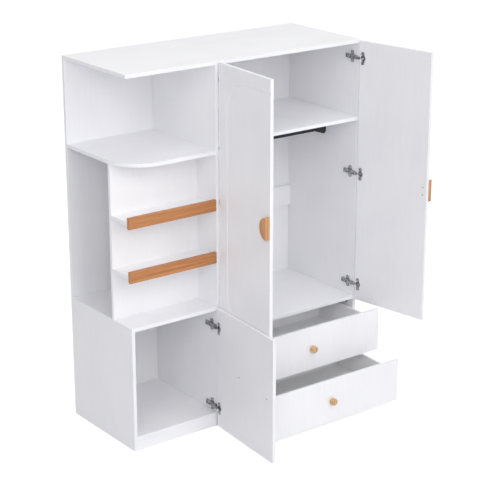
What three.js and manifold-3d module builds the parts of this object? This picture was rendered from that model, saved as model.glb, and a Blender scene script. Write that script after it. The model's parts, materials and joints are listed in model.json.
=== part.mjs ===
// White melamine wardrobe. An open display tower stands over a low cabinet on the left. On the right a
// tall two-door hanging compartment stands over two drawers. Shown as it stands in use: both tall doors
// and the low door swung open, both drawers pulled out by different amounts.
// Millimetres, +X right, -Y front, +Z up. The origin is on the floor under the middle of the divider.
import * as THREE from 'three';
import { mergeVertices } from 'three/addons/utils/BufferGeometryUtils.js';
import Module from 'manifold-3d';

const wasm = await Module();
wasm.setup();

// Carcass
const WIDTH = 1200;            // over both outer faces
const DEPTH = 480;             // front edges of the boards to the back
const HEIGHT = 1600;
const BOARD = 15;              // thickness of every white board
const THIN_BACK = 5;           // back board of the hanging side
const LEFT_CLEAR = 412.5;      // clear width of the low cabinet

// Left section
const KICK_H = 49;             // board under the cabinet floor
const CABINET_TOP = 548;       // upper surface of the low cabinet
const PARTITION_SET = 134.5;   // partition face behind the front plane
const SHELF_TOP = 1229;        // upper surface of the round-cornered shelf
const SHELF_RADIUS = 160;
const LEDGE_TOPS = [773, 1001]; // upper surfaces of the two book ledges
const STRIP_H = 48;            // wooden strip on the front of a ledge
const STRIP_T = 15;
const STRIP_RISE = 20;         // strip's top edge over its ledge
const STRIP_EASE = 2;          // rounded edges of a strip

// Right section
const INNER_SHELF_TOP = 1260;
const HANGING_FLOOR_TOP = 431;
const BASE_RAIL_H = 49;        // stretcher behind the lower drawer front
const BATTEN_FOOT = 750;
const BATTEN_H = 96;
const BATTEN_T = 15;
const ROD_SET = 230;           // hanging rail behind the front plane
const ROD_DROP = 74;           // middle of the rail under the shelf
const ROD_H = 30;
const ROD_W = 15;
const ROD_WALL = 1.5;
const SOCKET_W = 40;           // flange of a rail socket
const SOCKET_H = 63;
const SOCKET_T = 3;
const SOCKET_LIP = 2.5;        // wall of the collar round the rail's end
const SOCKET_REACH = 43;
const SOCKET_FIT = 0.3;

// Doors and drawer fronts
const DOOR_T = 15;
const DOOR_GAP = 2;            // closed door's inner face to the carcass
const REVEAL = 3.5;            // between neighbouring fronts
const EDGE_SET = 1.5;          // fronts inside the outer faces
const TOP_SET = 3;             // tall doors under the top face
const DOOR_LIFT = 1;           // tall doors over the underside of the hanging floor
const LOW_DOOR_FOOT = 5;
const LEFT_OPEN = 94.5;        // degrees, as it stands
const RIGHT_OPEN = 99.5;
const LOW_OPEN = 85.5;
const FIT = 0.3;               // gap of a piece seated on a door or drawer front

// Arched line on the tall doors
const GROOVE_W = 5;
const GROOVE_DEEP = 2;
const GROOVE_LEG = 62;         // from the hinge edge
const GROOVE_END = 58;         // from the top and the foot of the door
const GROOVE_RADIUS = 150;

// Handles
const GRIP_R = 47;
const GRIP_T = 20;
const GRIP_Z = 1000;
const GRIP_EASE = 2;
const KNOB_D = 30;
const KNOB_NECK_D = 24;
const KNOB_NECK = 3;
const KNOB_OUT = 22;
const KNOB_EASE = 2.5;
const LOW_KNOB_EDGE = 45;      // from the free edge of the low door

// Concealed hinges: cup in the door, arm on a plate on the carcass
const PIVOT_IN = 3;            // turning line from the hinge edge
const PIVOT_DEEP = 11.5;       // turning line from the inner face
const CUP_SET = 16;            // middle of the cup from the hinge edge
const CUP_R = 13;
const CUP_DEEP = 12;
const CUP_WALL = 1.2;
const CUP_FLOOR = 1;
const CUP_MOUTH = 4;           // rim cut away this far from the cup's middle, towards the arm
const RIM_R = 14.2;
const FLANGE_H = 56;
const FLANGE_W = 17;
const FLANGE_ROUND = 5;
const FLANGE_T = 1.2;
const CUP_PIN_R = 2;
const CUP_PIN_OFF = 8;         // pin beyond the middle of the cup
const CUP_PIN_DEEP = 5;
const TONGUE_W = 10;
const TONGUE_T = 3;
const TONGUE_OUT = 5;          // tongue over the inner face
const NECK_CLEAR = 0.25;       // neck to the corner of the door as it turns
const NECK_PLAY = 0.3;         // neck to the floor of the cup
const NECK_T = 5.8;
const NECK_W = 11;
const ARM_BACK = 2;            // arm's front behind the front plane
const ARM_STEP = 12;           // where the arm starts to its own height, behind the front plane
const ARM_FOOT = 28;
const ARM_END = 78;
const ARM_RISE = 11;           // arm's top over the board
const ARM_W = 17;
const ARM_SLOPE = 5.5;         // slanted rear end
const ARM_SLOT = 5.5;
const ARM_SLOT_L = 14;
const ARM_SLOT_DEEP = 5;
const PLATE_T = 2;
const PLATE_H = 52;
const PLATE_W = 20;
const PLATE_ROUND = 6.5;
const PLATE_MID = 38;          // wings behind the front plane
const TALL_HINGE_END = 75;     // end hinges from the ends of a tall door
const TALL_HINGES = 3;
const LOW_HINGE_END = 87;
const LOW_HINGES = 2;

// Drawers
const DRAWERS = 2;
const BASE_GAP = 21;           // under the lower front
const PULLED = [282, 145];     // lower and upper drawer, as they stand
const BOX_LIFT = 48;           // box over the foot of its front
const BOX_H = 110;
const BOX_T = 12;
const BOX_LENGTH = 364;        // behind the front
const BOTTOM_T = 5;
const BOTTOM_LIFT = 5;
const RUNNER_GAP = 12.5;       // box to carcass on each side
const RUNNER_L = 350;
const RUNNER_SET = 5;          // runner's end behind the front plane
const RUNNER_WALL = 1.5;
const RUNNER_LIP = 7.5;        // lips from the carcass
const RUNNER_UNDER = 2;        // channel under the box
const ROLLER_R = 8;
const ROLLER_PLAY = 0.3;
const ROLLER_END = 14;         // roller's middle from the end of its runner
const ROLLER_NARROW = 6.5;     // box roller's inner end from the carcass
const ROLLER_WIDE = 11;        // carcass roller's inner end from the carcass
const AXLE_R = 3;
const FIN_T = 2;
const FIN_NEAR = 8;            // rail fin on the box side, from the carcass

const SIDES = 24;              // steps of a full round
const ARC_FINE = 8;            // steps of a long curve, halved
const ARC_SMALL = 2;           // steps of a small corner, halved
const END_FLAT = 0.15;         // flat left between two rounded corners
const RUN_OUT = 1;             // how far a cut or an axle runs past the face that it meets
const MERGE = 1e-4;            // points nearer than this are one

// Places that follow from the sizes
const xLeft = -(BOARD / 2 + LEFT_CLEAR + BOARD);
const xRight = xLeft + WIDTH;
const yFront = -DEPTH / 2;
const yBack = DEPTH / 2;
const faceLeft = -BOARD / 2;            // divider's left face
const faceRight = BOARD / 2;            // divider's right face
const sideRight = xRight - BOARD;       // right side panel's inner face
const doorInner = yFront - DOOR_GAP;
const pivotY = doorInner - PIVOT_DEEP;
const yOuter = PIVOT_DEEP - DOOR_T;     // outer face of a door, from its turning line
const plane = PIVOT_DEEP + DOOR_GAP;    // front plane, from a turning line
const neckNear = Math.hypot(PIVOT_IN, PIVOT_DEEP) + NECK_CLEAR;
const neckTip = PIVOT_DEEP - (CUP_DEEP - CUP_FLOOR) + NECK_PLAY;
const tallFoot = HANGING_FLOOR_TOP - BOARD + DOOR_LIFT;
const tallHeight = HEIGHT - TOP_SET - tallFoot;
const frontLeft = REVEAL / 2;
const frontRight = xRight - EDGE_SET;
const tallWidth = (frontRight - frontLeft - REVEAL) / 2;
const lowWidth = -REVEAL / 2 - (xLeft + EDGE_SET);
const lowHeight = CABINET_TOP - LOW_DOOR_FOOT;
const frontHeight = (tallFoot - BASE_GAP - DRAWERS * REVEAL) / DRAWERS;
const cabinetFloor = KICK_H + BOARD;

const white = { color: 0xf3f3f4, roughness: 0.42, metalness: 0 };
const edge = { color: 0xededef, roughness: 0.5, metalness: 0 };
const timber = { color: 0xc98a55, roughness: 0.5, metalness: 0 };
const beech = { color: 0xdfae7a, roughness: 0.45, metalness: 0 };
const nickel = { color: 0x8d8d90, roughness: 0.3, metalness: 0.9 };
const black = { color: 0x232327, roughness: 0.4, metalness: 0.3 };
const enamel = { color: 0xe9e9ea, roughness: 0.35, metalness: 0.2 };

// A named piece in its own finish
function piece(name, geometry, finish) {
  const mesh = new THREE.Mesh(geometry, new THREE.MeshStandardMaterial(finish));
  mesh.name = name;
  return mesh;
}

function board(x0, x1, y0, y1, z0, z1) {
  const box = new THREE.BoxGeometry(x1 - x0, y1 - y0, z1 - z0);
  return box.translate((x0 + x1) / 2, (y0 + y1) / 2, (z0 + z1) / 2);
}

function toSolid(geometry) {
  const bare = geometry.clone();
  bare.deleteAttribute('normal');
  bare.deleteAttribute('uv');
  const merged = mergeVertices(bare, MERGE);
  return new wasm.Manifold(new wasm.Mesh({
    numProp: 3,
    vertProperties: new Float32Array(merged.attributes.position.array),
    triVerts: new Uint32Array(merged.index.array),
  }));
}

function toGeometry(body) {
  const mesh = body.getMesh();
  const geometry = new THREE.BufferGeometry();
  geometry.setAttribute('position', new THREE.BufferAttribute(mesh.vertProperties, 3));
  geometry.setIndex(new THREE.BufferAttribute(mesh.triVerts, 1));
  geometry.computeVertexNormals();
  return geometry;
}

function join(first, ...others) {
  return toGeometry(others.reduce((body, g) => body.add(toSolid(g)), toSolid(first)));
}

function cut(first, ...others) {
  return toGeometry(others.reduce((body, g) => body.subtract(toSolid(g)), toSolid(first)));
}

// The outline pushed through a thickness. The three placings turn the drawing plane:
// 'xy' stands on Z, 'xz' is seen from the front and runs back from y, 'yz' runs along X.
function slab(shape, thickness, placing, steps = ARC_SMALL) {
  const geometry = new THREE.ExtrudeGeometry(shape, {
    depth: thickness, bevelEnabled: false, curveSegments: steps,
  });
  if (placing === 'xz') geometry.rotateX(Math.PI / 2).translate(0, thickness, 0);
  if (placing === 'yz') {
    geometry.applyMatrix4(new THREE.Matrix4().set(0, 0, 1, 0, 1, 0, 0, 0, 0, 1, 0, 0, 0, 0, 0, 1));
  }
  return geometry;
}

// The same outline on the other hand
function handed(shape, side) {
  return new THREE.Shape(shape.getPoints(ARC_FINE).map((p) => new THREE.Vector2(side * p.x, p.y)));
}

// A rectangle with rounded corners about the origin
function rounded(width, height, radius, Kind = THREE.Shape) {
  const w = width / 2 - radius;
  const h = height / 2 - radius;
  const path = new Kind();
  path.absarc(w, h, radius, 0, Math.PI / 2, false);
  path.absarc(-w, h, radius, Math.PI / 2, Math.PI, false);
  path.absarc(-w, -h, radius, Math.PI, Math.PI * 1.5, false);
  path.absarc(w, -h, radius, Math.PI * 1.5, Math.PI * 2, false);
  path.closePath();
  return path;
}

// A rod whose axis lies along the named axis
function rod(radius, length, axis, steps = SIDES) {
  const geometry = new THREE.CylinderGeometry(radius, radius, length, steps);
  if (axis === 'x') geometry.rotateZ(Math.PI / 2);
  if (axis === 'z') geometry.rotateX(Math.PI / 2);
  return geometry;
}

// Carcass boards

function carcassBoards() {
  const boards = new THREE.Group();
  const under = HEIGHT - BOARD;
  const add = (name, ...sizes) => boards.add(piece(name, board(...sizes), white));
  add('top_panel', xLeft, xRight, yFront, yBack, under, HEIGHT);
  add('centre_divider', faceLeft, faceRight, yFront, yBack, 0, under);
  add('right_side_panel', sideRight, xRight, yFront, yBack, 0, under);
  add('left_back_panel', xLeft, faceLeft, yBack - BOARD, yBack, 0, under);
  add('right_back_panel', faceRight, sideRight, yBack - THIN_BACK, yBack, 0, under);
  add('inner_shelf', faceRight, sideRight, yFront, yBack - THIN_BACK,
    INNER_SHELF_TOP - BOARD, INNER_SHELF_TOP);
  add('hanging_floor', faceRight, sideRight, yFront, yBack - THIN_BACK,
    HANGING_FLOOR_TOP - BOARD, HANGING_FLOOR_TOP);
  add('back_batten', faceRight, sideRight, yBack - THIN_BACK - BATTEN_T, yBack - THIN_BACK,
    BATTEN_FOOT, BATTEN_FOOT + BATTEN_H);
  add('base_rail', faceRight, sideRight, yFront, yFront + BOARD, 0, BASE_RAIL_H);
  return boards;
}

function lowCabinet() {
  const cabinet = new THREE.Group();
  const back = yBack - BOARD;
  const under = CABINET_TOP - BOARD;
  const add = (name, ...sizes) => cabinet.add(piece(name, board(...sizes), white));
  add('cabinet_side', xLeft, xLeft + BOARD, yFront, back, 0, under);
  add('cabinet_top', xLeft, faceLeft, yFront, back, under, CABINET_TOP);
  add('cabinet_floor', xLeft + BOARD, faceLeft, yFront, back, KICK_H, cabinetFloor);
  add('cabinet_kick', xLeft + BOARD, faceLeft, yFront, yFront + BOARD, 0, KICK_H);
  return cabinet;
}

function roundShelf() {
  const outline = new THREE.Shape();
  outline.moveTo(faceLeft, yFront);
  outline.lineTo(faceLeft, yBack - BOARD);
  outline.lineTo(xLeft, yBack - BOARD);
  outline.lineTo(xLeft, yFront + SHELF_RADIUS);
  outline.absarc(xLeft + SHELF_RADIUS, yFront + SHELF_RADIUS, SHELF_RADIUS, Math.PI, Math.PI * 1.5, false);
  outline.closePath();
  const shelf = slab(outline, BOARD, 'xy', ARC_FINE).translate(0, 0, SHELF_TOP - BOARD);
  return piece('round_shelf', shelf, white);
}

function displayTower() {
  const tower = new THREE.Group();
  const face = yFront + PARTITION_SET;
  tower.add(roundShelf());
  tower.add(piece('partition',
    board(xLeft, faceLeft, face, face + BOARD, CABINET_TOP, SHELF_TOP - BOARD), white));
  LEDGE_TOPS.forEach((top, i) => {
    const name = ['lower', 'upper'][i];
    tower.add(piece(`ledge_${name}`,
      board(xLeft, faceLeft, yFront + STRIP_T, face, top - BOARD, top), white));
    const strip = slab(rounded(STRIP_T, STRIP_H, STRIP_EASE), faceLeft - xLeft, 'yz');
    strip.translate(xLeft, yFront + STRIP_T / 2, top + STRIP_RISE - STRIP_H / 2);
    tower.add(piece(`ledge_strip_${name}`, strip, timber));
  });
  return tower;
}

// Hanging rail: an oval tube in two sockets

// A flange on the panel, narrowing to a collar round the rail's end, drawn standing out towards +X
function railSocket() {
  const lip = 2 * (SOCKET_FIT + SOCKET_LIP);
  const fit = 2 * SOCKET_FIT;
  const flange = slab(rounded(SOCKET_W, SOCKET_H, SOCKET_W / 2 - END_FLAT), SOCKET_T, 'yz');
  const collar = slab(rounded(ROD_W + lip, ROD_H + lip, (ROD_W + lip) / 2 - END_FLAT), SOCKET_T, 'yz')
    .translate(SOCKET_REACH - SOCKET_T, 0, 0);
  const bore = slab(rounded(ROD_W + fit, ROD_H + fit, (ROD_W + fit) / 2 - END_FLAT), SOCKET_REACH, 'yz')
    .translate(SOCKET_T, 0, 0);
  const flared = wasm.Manifold.hull([toSolid(flange), toSolid(collar)]);
  return toGeometry(flared.subtract(toSolid(bore)));
}

function hangingRail() {
  const rail = new THREE.Group();
  rail.position.set(0, yFront + ROD_SET, INNER_SHELF_TOP - BOARD - ROD_DROP);
  const from = faceRight + SOCKET_T + SOCKET_FIT;
  const to = sideRight - SOCKET_T - SOCKET_FIT;
  const tube = rounded(ROD_W, ROD_H, ROD_W / 2 - END_FLAT);
  const bore = 2 * ROD_WALL;
  tube.holes.push(rounded(ROD_W - bore, ROD_H - bore, (ROD_W - bore) / 2 - END_FLAT, THREE.Path));
  rail.add(piece('hanging_rail', slab(tube, to - from, 'yz').translate(from, 0, 0), black));
  rail.add(piece('rail_socket_left', railSocket().translate(faceRight, 0, 0), black));
  const right = railSocket().rotateZ(Math.PI).translate(sideRight, 0, 0);
  rail.add(piece('rail_socket_right', right, black));
  return rail;
}

// Concealed hinges

// Heights of evenly spread hinges on a door
function hingeHeights(foot, height, end, count) {
  const step = (height - 2 * end) / (count - 1);
  return Array.from({ length: count }, (_, i) => foot + end + i * step);
}

// Cup, rim, wings, pin and link tongue, sunk in the door. Drawn about the middle of the cup with the
// door's inner face at y = 0 and the opening towards +Y. side is the way from the hinge edge.
function hingeCup(side) {
  const lip = FIT + FLANGE_T;
  const profile = [
    [0, -CUP_DEEP], [CUP_R, -CUP_DEEP], [CUP_R, FIT], [RIM_R, FIT], [RIM_R, lip],
    [CUP_R - CUP_WALL, lip], [CUP_R - CUP_WALL, CUP_FLOOR - CUP_DEEP], [0, CUP_FLOOR - CUP_DEEP],
  ].map(([r, y]) => new THREE.Vector2(r, y));
  const inner = CUP_R - CUP_WALL / 2;
  const wings = cut(slab(rounded(FLANGE_W, FLANGE_H, FLANGE_ROUND), FLANGE_T, 'xz'),
    rod(inner, FLANGE_T * 3, 'y').translate(0, FLANGE_T / 2, 0)).translate(0, FIT, 0);
  const half = Math.sqrt(inner ** 2 - (CUP_PIN_OFF + CUP_PIN_R) ** 2);
  const pin = rod(CUP_PIN_R, 2 * half, 'z', SIDES / 2).translate(side * CUP_PIN_OFF, -CUP_PIN_DEEP, 0);
  const low = -CUP_PIN_DEEP - CUP_PIN_R / 2;
  const tongue = board(-TONGUE_T / 2, TONGUE_T / 2, low, TONGUE_OUT, -TONGUE_W / 2, TONGUE_W / 2)
    .translate(side * CUP_PIN_OFF, 0, 0);
  const mouth = board(-RIM_R, RIM_R, -FIT, lip + FLANGE_T, -RIM_R, RIM_R)
    .translate(-side * (RIM_R + CUP_MOUTH), 0, 0);
  return cut(join(new THREE.LatheGeometry(profile, SIDES), wings, pin, tongue), mouth);
}

// Arm on its plate. Drawn from the turning line: x towards the opening (times side), y back.
// face is the board's surface from the turning line.
function hingeArm(side, face) {
  const top = face + ARM_RISE;
  const under = face + PLATE_T / 2;
  const neckFar = neckNear + NECK_T;
  const front = plane + ARM_BACK;
  const rear = plane + ARM_END;
  const outline = new THREE.Shape([
    [neckNear, neckTip], [neckFar, neckTip], [neckFar, plane + ARM_STEP], [top, plane + ARM_FOOT],
    [top, rear - ARM_SLOPE], [top - ARM_SLOPE, rear], [under, rear], [under, front], [neckNear, front],
  ].map(([i, j]) => new THREE.Vector2(side * i, j)));
  const arm = slab(outline, ARM_W, 'xy').translate(0, 0, -ARM_W / 2);
  const waist = (ARM_W - NECK_W) / 2;
  const shoulder = (up) => board(0, 2 * neckFar, neckTip - RUN_OUT, front, -waist, waist)
    .translate(side > 0 ? 0 : -2 * neckFar, 0, up * ARM_W / 2);
  const slot = (at) => slab(rounded(ARM_SLOT_L, ARM_SLOT, ARM_SLOT / 2 - END_FLAT), 2 * ARM_SLOT_DEEP, 'yz')
    .translate(side * top - ARM_SLOT_DEEP, at, 0);
  const plate = slab(rounded(PLATE_W, PLATE_H, PLATE_ROUND), PLATE_T, 'yz')
    .translate(side > 0 ? face : -face - PLATE_T, plane + PLATE_MID, 0);
  const shaped = cut(arm, shoulder(1), shoulder(-1), slot(plane + PLATE_MID), slot(rear - ARM_SLOT_L));
  return join(shaped, plate);
}

// Doors

// The closed stroke of the arched line, from the free edge round the two corners and back
function archStroke(width, height) {
  const free = width - PIVOT_IN + RUN_OUT;
  const leg = GROOVE_LEG - PIVOT_IN;
  const centre = leg + GROOVE_RADIUS;
  const low = GROOVE_END + GROOVE_RADIUS;
  const high = height - GROOVE_END - GROOVE_RADIUS;
  const outer = GROOVE_RADIUS + GROOVE_W / 2;
  const inner = GROOVE_RADIUS - GROOVE_W / 2;
  const path = new THREE.Shape();
  path.moveTo(free, high + outer);
  path.absarc(centre, high, outer, Math.PI / 2, Math.PI, false);
  path.absarc(centre, low, outer, Math.PI, Math.PI * 1.5, false);
  path.lineTo(free, low - outer);
  path.lineTo(free, low - inner);
  path.absarc(centre, low, inner, Math.PI * 1.5, Math.PI, true);
  path.absarc(centre, high, inner, Math.PI, Math.PI / 2, true);
  path.lineTo(free, high + inner);
  path.closePath();
  return path;
}

function doorPanel(spec) {
  const { side, foot, width, height, heights, arched } = spec;
  const ends = [side * -PIVOT_IN, side * (width - PIVOT_IN)].sort((a, b) => a - b);
  const panel = board(ends[0], ends[1], yOuter, PIVOT_DEEP, foot, foot + height);
  const depth = CUP_DEEP + FIT;
  const cuts = heights.map((z) => rod(CUP_R + FIT, 2 * depth, 'y')
    .translate(side * (CUP_SET - PIVOT_IN), PIVOT_DEEP, z));
  if (arched) {
    const groove = slab(handed(archStroke(width, height), side), 2 * GROOVE_DEEP, 'xz');
    cuts.push(groove.translate(0, yOuter - GROOVE_DEEP, foot));
  }
  return cut(panel, ...cuts);
}

// Half-moon grip whose flat side is flush with the free edge
function grip(side, width) {
  const outline = new THREE.Shape();
  const r = GRIP_R - GRIP_EASE;
  outline.absarc(0, 0, r, side * Math.PI / 2, side * Math.PI / 2 + Math.PI, false);
  outline.closePath();
  const half = new THREE.Shape(outline.getPoints(SIDES / 2));
  const body = new THREE.ExtrudeGeometry(half, {
    depth: GRIP_T - 2 * GRIP_EASE, bevelThickness: GRIP_EASE, bevelSize: GRIP_EASE, bevelSegments: ARC_SMALL,
  });
  body.rotateX(Math.PI / 2);
  body.translate(side * (width - PIVOT_IN - GRIP_EASE), yOuter - FIT - GRIP_EASE, GRIP_Z);
  return body;
}

// Turned knob standing out towards -Y from y = 0
function knob() {
  const r = KNOB_D / 2;
  const profile = new THREE.Path();
  profile.moveTo(0, -KNOB_OUT);
  profile.lineTo(r - KNOB_EASE, -KNOB_OUT);
  profile.absarc(r - KNOB_EASE, KNOB_EASE - KNOB_OUT, KNOB_EASE, -Math.PI / 2, 0, false);
  profile.lineTo(r, -KNOB_NECK - KNOB_EASE);
  profile.absarc(r - KNOB_EASE, -KNOB_NECK - KNOB_EASE, KNOB_EASE, 0, Math.PI / 2, false);
  profile.lineTo(KNOB_NECK_D / 2, -KNOB_NECK);
  profile.lineTo(KNOB_NECK_D / 2, -FIT);
  profile.lineTo(0, -FIT);
  const points = profile.getPoints(ARC_SMALL);
  return new THREE.LatheGeometry(points.filter((p, i) => !i || p.distanceTo(points[i - 1]) > MERGE), SIDES);
}

function door(spec) {
  const group = new THREE.Group();
  const { name, side, pivotX, open, width, heights } = spec;
  group.position.set(pivotX, pivotY, 0);
  group.rotation.z = THREE.MathUtils.degToRad(-side * open);
  group.add(piece(name, doorPanel(spec), white));
  heights.forEach((z, i) => {
    const cup = hingeCup(side).translate(side * (CUP_SET - PIVOT_IN), PIVOT_DEEP, z);
    group.add(piece(`${name}_cup_${i + 1}`, cup, nickel));
  });
  if (spec.arched) {
    group.add(piece(`${name}_handle`, grip(side, width), timber));
  } else {
    const at = side * (width - PIVOT_IN - LOW_KNOB_EDGE);
    group.add(piece(`${name}_knob`, knob().translate(at, yOuter, spec.foot + spec.height / 2), beech));
  }
  return group;
}

function hingeArms(spec) {
  const group = new THREE.Group();
  const { name, side, pivotX, face, heights } = spec;
  const from = side * (face - pivotX);
  heights.forEach((z, i) => {
    const arm = hingeArm(side, from).translate(pivotX, pivotY, z);
    group.add(piece(`${name}_arm_${i + 1}`, arm, nickel));
  });
  return group;
}

const tallHeights = hingeHeights(tallFoot, tallHeight, TALL_HINGE_END, TALL_HINGES);
const doorSpecs = [
  {
    name: 'left_door', side: 1, pivotX: frontLeft + PIVOT_IN, face: faceRight, open: LEFT_OPEN,
    foot: tallFoot, width: tallWidth, height: tallHeight, heights: tallHeights, arched: true,
  },
  {
    name: 'right_door', side: -1, pivotX: frontRight - PIVOT_IN, face: sideRight, open: RIGHT_OPEN,
    foot: tallFoot, width: tallWidth, height: tallHeight, heights: tallHeights, arched: true,
  },
  {
    name: 'low_door', side: -1, pivotX: -REVEAL / 2 - PIVOT_IN, face: faceLeft, open: LOW_OPEN,
    foot: LOW_DOOR_FOOT, width: lowWidth, height: lowHeight, arched: false,
    heights: hingeHeights(LOW_DOOR_FOOT, lowHeight, LOW_HINGE_END, LOW_HINGES),
  },
];

// Drawers and their roller runners

// Channel on the carcass with a roller at its front end. side points from the board to the drawer.
function runner(side) {
  const inside = 2 * (ROLLER_R + ROLLER_PLAY);
  const tall = inside + 2 * RUNNER_WALL;
  const section = new THREE.Shape([
    [0, 0], [RUNNER_LIP, 0], [RUNNER_LIP, RUNNER_WALL], [RUNNER_WALL, RUNNER_WALL],
    [RUNNER_WALL, RUNNER_WALL + inside], [RUNNER_LIP, RUNNER_WALL + inside], [RUNNER_LIP, tall], [0, tall],
  ].map(([x, z]) => new THREE.Vector2(side * x, z)));
  const channel = slab(section, RUNNER_L, 'xz').translate(0, yFront + RUNNER_SET, 0);
  const wide = ROLLER_WIDE - RUNNER_WALL / 2;
  const roller = rod(ROLLER_R, wide, 'x').translate(side * (RUNNER_WALL / 2 + wide / 2),
    yFront + RUNNER_SET + ROLLER_END, RUNNER_WALL + ROLLER_PLAY + ROLLER_R);
  return join(channel, roller);
}

// Box side with the fin that rides on the carcass roller and its own roller in the channel.
// x = 0 is the side's outer face, side points from the carcass to the drawer.
function boxSide(side) {
  const rear = BOX_LENGTH;
  const span = (near, far) => [side * near, side * far].sort((a, b) => a - b);
  const wall = board(...span(0, BOX_T), 0, rear, 0, BOX_H);
  const axleZ = RUNNER_WALL + ROLLER_PLAY + ROLLER_R - RUNNER_UNDER;
  const finZ = axleZ + ROLLER_R + ROLLER_PLAY;
  const fin = board(...span(FIN_NEAR - RUNNER_GAP, BOX_T / 2), 0, rear, finZ, finZ + FIN_T);
  const near = RUNNER_WALL + ROLLER_PLAY - RUNNER_GAP;
  const far = ROLLER_NARROW - RUNNER_GAP;
  const y = rear - ROLLER_END;
  const roller = rod(ROLLER_R, far - near, 'x').translate(side * (near + far) / 2, y, axleZ);
  const axle = rod(AXLE_R, BOX_T / 2 - near - RUN_OUT, 'x', SIDES / 2)
    .translate(side * (BOX_T / 2 + near + RUN_OUT) / 2, y, axleZ);
  return join(wall, fin, axle, roller);
}

function drawer(level) {
  const group = new THREE.Group();
  const name = ['lower', 'upper'][level];
  const foot = BASE_GAP + level * (frontHeight + REVEAL);
  group.position.set(0, doorInner - PULLED[level], foot);
  const left = faceRight + RUNNER_GAP;
  const right = sideRight - RUNNER_GAP;
  const add = (label, geometry, finish) => group.add(piece(`drawer_${name}_${label}`, geometry, finish));
  add('front', board(frontLeft, frontRight, -DOOR_T, 0, 0, frontHeight), white);
  add('knob', knob().translate((frontLeft + frontRight) / 2, -DOOR_T, frontHeight / 2), beech);
  add('side_left', boxSide(1).translate(left, 0, BOX_LIFT), edge);
  add('side_right', boxSide(-1).translate(right, 0, BOX_LIFT), edge);
  const floor = BOX_LIFT + BOTTOM_LIFT;
  add('bottom', board(left + BOX_T, right - BOX_T, 0, BOX_LENGTH, floor, floor + BOTTOM_T), edge);
  add('back', board(left + BOX_T, right - BOX_T, BOX_LENGTH - BOX_T, BOX_LENGTH,
    floor + BOTTOM_T, BOX_LIFT + BOX_H), edge);
  return group;
}

function runners(level) {
  const group = new THREE.Group();
  const name = ['lower', 'upper'][level];
  group.position.z = BASE_GAP + level * (frontHeight + REVEAL) + BOX_LIFT - RUNNER_UNDER;
  group.add(piece(`runner_${name}_left`, runner(1).translate(faceRight, 0, 0), enamel));
  group.add(piece(`runner_${name}_right`, runner(-1).translate(sideRight, 0, 0), enamel));
  return group;
}

const wardrobe = new THREE.Group();
wardrobe.add(carcassBoards(), lowCabinet(), displayTower(), hangingRail());
for (const spec of doorSpecs) wardrobe.add(door(spec), hingeArms(spec));
for (let level = 0; level < DRAWERS; level += 1) wardrobe.add(drawer(level), runners(level));

export default wardrobe;
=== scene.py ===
"""Looks of a white wardrobe: open display tower over a low cabinet, hanging space over two drawers.

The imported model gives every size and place. Boards, doors, hinges, runners, grips and knobs are made
again here with eased edges, a routed line, screws and grain, and each piece rides on the body that
carries it. Sizes are in millimetres and angles in degrees, and they become metres and radians where
a mesh is made.
"""
import json
import logging
import math
from collections.abc import Sequence
from dataclasses import dataclass, field
from enum import Enum

import bmesh
import bpy
from mathutils import Matrix, Vector


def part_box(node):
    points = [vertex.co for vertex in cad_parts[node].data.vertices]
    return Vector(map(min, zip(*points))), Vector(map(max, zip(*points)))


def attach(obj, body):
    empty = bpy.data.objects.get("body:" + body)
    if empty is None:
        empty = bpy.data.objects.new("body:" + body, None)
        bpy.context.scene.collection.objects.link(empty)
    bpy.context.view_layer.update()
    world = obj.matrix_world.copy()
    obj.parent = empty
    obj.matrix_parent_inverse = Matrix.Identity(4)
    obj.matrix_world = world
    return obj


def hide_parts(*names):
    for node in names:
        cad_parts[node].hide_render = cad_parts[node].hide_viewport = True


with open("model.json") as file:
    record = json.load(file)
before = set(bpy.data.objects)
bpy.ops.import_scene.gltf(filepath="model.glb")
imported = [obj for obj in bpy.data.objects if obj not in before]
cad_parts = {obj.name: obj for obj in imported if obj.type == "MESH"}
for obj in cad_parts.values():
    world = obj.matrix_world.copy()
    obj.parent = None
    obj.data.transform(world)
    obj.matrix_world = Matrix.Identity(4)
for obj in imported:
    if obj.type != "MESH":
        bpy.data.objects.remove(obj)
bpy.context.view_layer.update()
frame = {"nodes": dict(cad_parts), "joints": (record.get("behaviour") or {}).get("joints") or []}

log = logging.getLogger("wardrobe")

MM = 0.001
MERGE = 0.02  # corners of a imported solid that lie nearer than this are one
PLANE = 0.5  # its faces within this angle are joined
ROUND = 40.0  # edges of round pieces that turn less than this are shaded smooth
SHARP = 50.0  # edges of stamped, pressed and curved pieces are eased where they turn more than this
SHARE, FIRST, SECOND, RESULT = 0, 6, 7, 2  # sockets of a Mix node that mixes colours
TIMES = {"data_type": "RGBA", "blend_type": "MULTIPLY"}  # settings of one that multiplies them
WHITE = "#FFFFFF"

Pair = tuple[float, float]
Triple = tuple[float, float, float]
Colour = tuple[float, float, float, float]
Inputs = dict[str | int, object]
Stops = Sequence[tuple[float, str]]
Node = bpy.types.Node
Socket = bpy.types.NodeSocket
Tree = bpy.types.NodeTree
Material = bpy.types.Material
Mesh = bpy.types.Mesh
Shape = bmesh.types.BMesh
Spot = tuple[Vector, Vector]


# Colour and nodes


def linear(code: str) -> Colour:
    """Turns an sRGB hex colour into linear light, by the curve of the sRGB standard.

    Args:
        code: Colour such as "#F0F0F2".

    Returns:
        Red, green, blue and alpha.
    """
    parts = [int(code[i : i + 2], 16) / 255 for i in (1, 3, 5)]
    light = [c / 12.92 if c <= 0.04045 else ((c + 0.055) / 1.055) ** 2.4 for c in parts]
    return light[0], light[1], light[2], 1.0


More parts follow.
